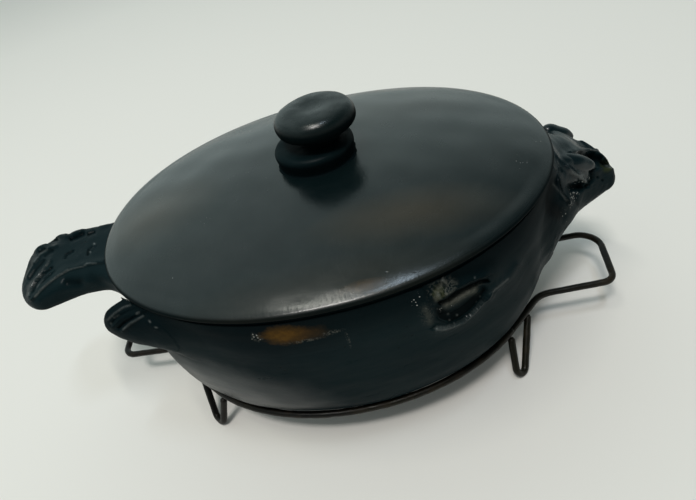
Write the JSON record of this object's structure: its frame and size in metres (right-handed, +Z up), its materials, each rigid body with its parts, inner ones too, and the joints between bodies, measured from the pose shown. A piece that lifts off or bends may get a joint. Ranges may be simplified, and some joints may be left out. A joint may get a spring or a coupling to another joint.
{
  "type": "lidded clay cooking pot on a wire stand",
  "caption": "Fish-shaped burnished black clay cooking pot with a domed knobbed lid, resting in an oval stand of bent wire with looped handles.",
  "frame": {"origin": "middle of the whole footprint on the floor, below the wire feet", "axes": "+X towards the fish's head, +Y to its left, +Z up"},
  "size_m": [0.4482, 0.252, 0.2002],
  "materials": {
    "burnished_clay": "burnished black fired clay, satin",
    "stand_wire": "blackened steel wire with rust, satin"
  },
  "bodies": {
    "stand": {"right_rail": "stand_wire", "left_rail": "stand_wire", "head_end_loop": "stand_wire", "tail_end_loop": "stand_wire", "head_right_leg": "stand_wire", "head_left_leg": "stand_wire", "tail_right_leg": "stand_wire", "tail_left_leg": "stand_wire"},
    "pot": {"bowl": "burnished_clay", "head": "burnished_clay", "right_eye": "burnished_clay", "left_eye": "burnished_clay", "tail": "burnished_clay", "right_rear_fin": "burnished_clay", "left_rear_fin": "burnished_clay", "right_front_fin": "burnished_clay", "left_front_fin": "burnished_clay"},
    "lid": {"lid_shell": "burnished_clay", "collar": "burnished_clay", "knob": "burnished_clay"}
  },
  "joints": [
    {"name": "pot_lift", "type": "slide", "parent": "stand", "child": "pot", "axis": [0, 0, 1], "range_m": [0, 0.12]},
    {"name": "lid_lift", "type": "slide", "parent": "pot", "child": "lid", "axis": [0, 0, 1], "range_m": [0, 0.12]}
  ]
}
